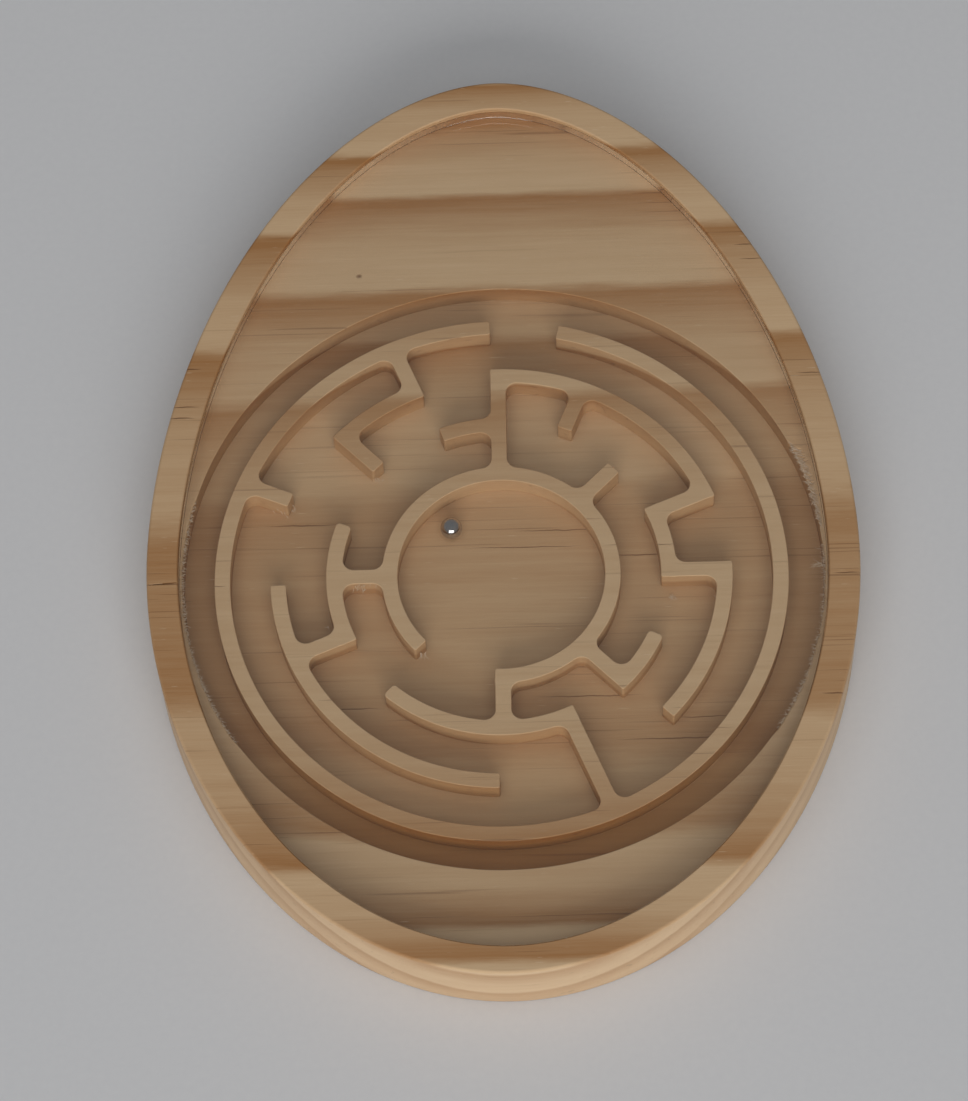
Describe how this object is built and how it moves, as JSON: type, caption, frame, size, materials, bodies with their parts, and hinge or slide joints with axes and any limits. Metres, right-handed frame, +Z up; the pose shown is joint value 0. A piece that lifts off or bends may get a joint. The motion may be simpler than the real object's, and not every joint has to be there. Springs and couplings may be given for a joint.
{
  "type": "tilt maze game",
  "caption": "egg-shaped wooden tilt maze: ring corridors milled into one block of pine, under a clear window let into its top, with a loose steel ball",
  "frame": {"origin": "centre of the egg's bounding box, on the underside of the block", "axes": "+X across the egg, +Y towards its narrow end, +Z up, out of the window"},
  "size_m": [0.102, 0.1422, 0.0116],
  "materials": {
    "pine": "milled and sanded, unfinished",
    "acrylic": "clear, polished",
    "steel": "polished"
  },
  "bodies": {
    "block": {"block_base": "pine", "block_rim": "pine", "block_shelf": "pine", "ring1_wall": "pine", "ring2_wall_east": "pine", "ring2_wall_north": "pine", "ring2_wall_west": "pine", "ring2_wall_south": "pine", "ring2_wall_southeast": "pine", "ring3_wall_southeast": "pine", "ring3_wall_northeast": "pine", "ring3_wall_northwest": "pine", "ring3_wall_southwest": "pine", "ring4_wall": "pine", "spoke00_ring2_to_ring3": "pine", "spoke01_ring2_to_ring3": "pine", "spoke02_ring1_stub": "pine", "spoke03_ring3_stub": "pine", "spoke04_ring1_to_ring2": "pine", "spoke04_ring2_to_ring3": "pine", "spoke05_ring3_to_ring4": "pine", "spoke06_ring3_stub": "pine", "spoke07_ring4_stub": "pine", "spoke08_ring1_to_ring2": "pine", "spoke09_ring2_to_ring3": "pine", "spoke12_ring1_to_ring2": "pine", "spoke13_ring2_to_ring4": "pine", "spoke14_ring1_to_ring2": "pine", "window": "acrylic"},
    "ball": {"steel_ball": "steel"}
  },
  "joints": [
    {"name": "ball_travel", "type": "hinge", "parent": "block", "child": "ball", "pos_m": [-0.00028, -0.00963, 0.00619], "axis": [0, 0, 1], "continuous": true}
  ]
}
